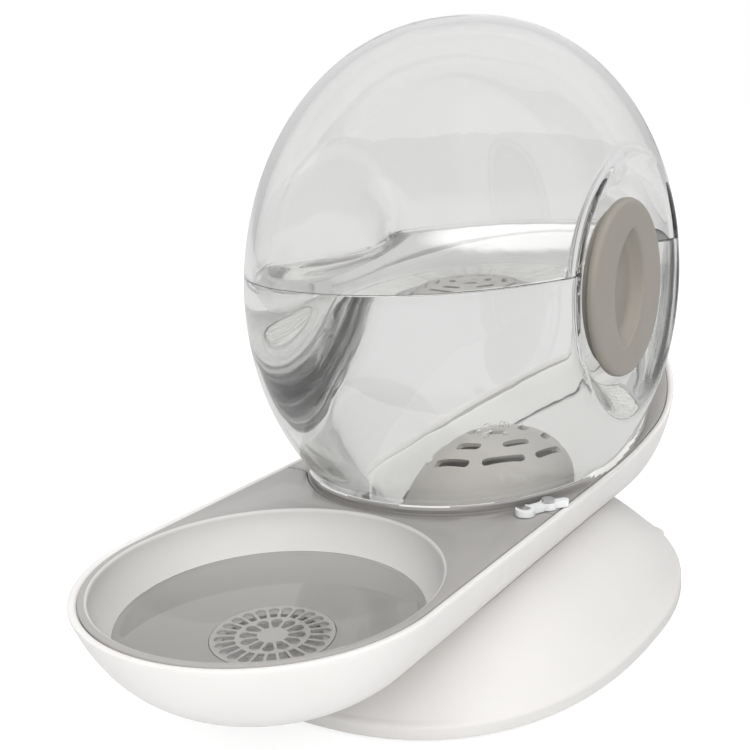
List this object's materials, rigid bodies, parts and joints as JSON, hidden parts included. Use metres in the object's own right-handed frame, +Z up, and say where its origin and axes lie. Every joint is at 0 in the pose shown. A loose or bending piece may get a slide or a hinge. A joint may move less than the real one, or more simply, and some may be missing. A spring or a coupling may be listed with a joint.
{
  "type": "gravity pet water dispenser",
  "caption": "Pet water dispenser: a clear disc-shaped tank with a round fill cap stands in a white boat-shaped hull on a flared foot, with a grey drinking bowl in front.",
  "frame": {"origin": "on the ground under the middle of the object's box", "axes": "+Z up, the drinking bowl towards -Y, the fill cap on +X"},
  "size_m": [0.17, 0.302, 0.22],
  "materials": {
    "shell_white": "satin warm white moulded plastic",
    "seat_white": "satin white moulded plastic, under water in use",
    "deck_grey": "satin light grey moulded plastic",
    "grate_grey": "satin light grey moulded plastic",
    "tank_clear": "clear blown plastic, polished",
    "cap_taupe": "satin warm grey moulded plastic",
    "strainer_grey": "satin light warm grey moulded plastic",
    "outlet_white": "white moulded plastic",
    "seal_silicone": "milky silicone",
    "pad_rubber": "matte dark rubber",
    "clip_white": "translucent white moulded plastic",
    "screw_steel": "stainless steel"
  },
  "bodies": {
    "base": {"hull_shell": "shell_white", "pedestal_foot": "shell_white", "foot_pads": "pad_rubber", "foot_screws": "screw_steel", "bowl_tray": "deck_grey", "bowl_grate": "grate_grey", "deck_collar": "deck_grey", "tank_seat": "seat_white", "water_tank": "tank_clear", "outlet_cap": "outlet_white", "outlet_seal": "seal_silicone", "strainer_dome": "strainer_grey", "valve_spring": "screw_steel", "clip_pin": "screw_steel"},
    "cap": {"fill_cap": "cap_taupe", "fill_cap_seal": "seal_silicone"},
    "valve": {"valve_stem": "outlet_white", "valve_washer": "pad_rubber"},
    "clip": {"deck_clip": "clip_white"}
  },
  "joints": [
    {"name": "fill_cap_turn", "type": "hinge", "parent": "base", "child": "cap", "pos_m": [0.06, 0.04505, 0.12], "axis": [1, 0, 0], "range_deg": [0, 90]},
    {"name": "valve_lift", "type": "slide", "parent": "base", "child": "valve", "axis": [0, 0, 1], "range_m": [0, 0.0025], "stiffness_N_per_m": 100, "springref_m": -0.006, "deforming": ["valve_spring"]},
    {"name": "deck_clip_swing", "type": "hinge", "parent": "base", "child": "clip", "pos_m": [0.05468, -0.00297, 0.0515], "axis": [0, 0, 1], "range_deg": [0, 50]}
  ]
}
